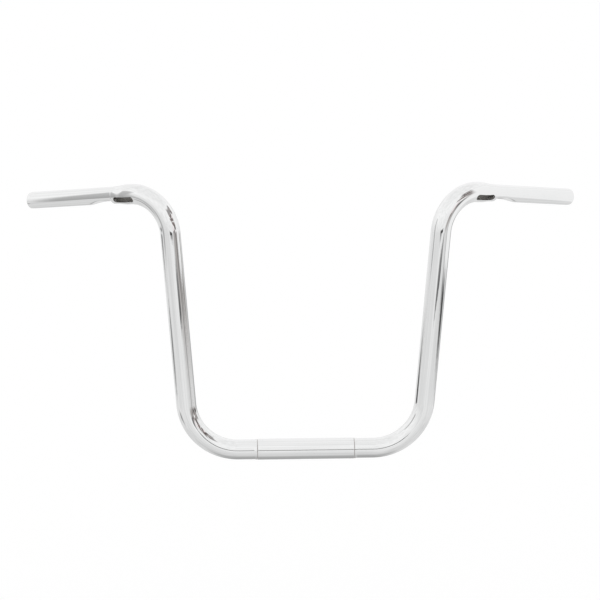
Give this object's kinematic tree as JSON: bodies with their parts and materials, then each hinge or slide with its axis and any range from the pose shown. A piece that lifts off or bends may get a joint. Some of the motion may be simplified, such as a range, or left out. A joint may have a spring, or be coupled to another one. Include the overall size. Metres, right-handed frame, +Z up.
{
  "type": "motorcycle handlebar",
  "caption": "Tall one-piece motorcycle handlebar of chromed steel tube, with a thick clamp section, swept-back grip ends and dimples and slots for wires inside the tube.",
  "frame": {"origin": "middle of the clamp section, on its axis", "axes": "+X along the clamp section to the rider's left, +Y to the rear where the grips point, +Z up the risers"},
  "size_m": [0.8478, 0.1485, 0.4223],
  "materials": {
    "chrome_plate": "polished chrome plate on steel"
  },
  "bodies": {
    "root": {"handlebar": "chrome_plate"}
  },
  "joints": []
}
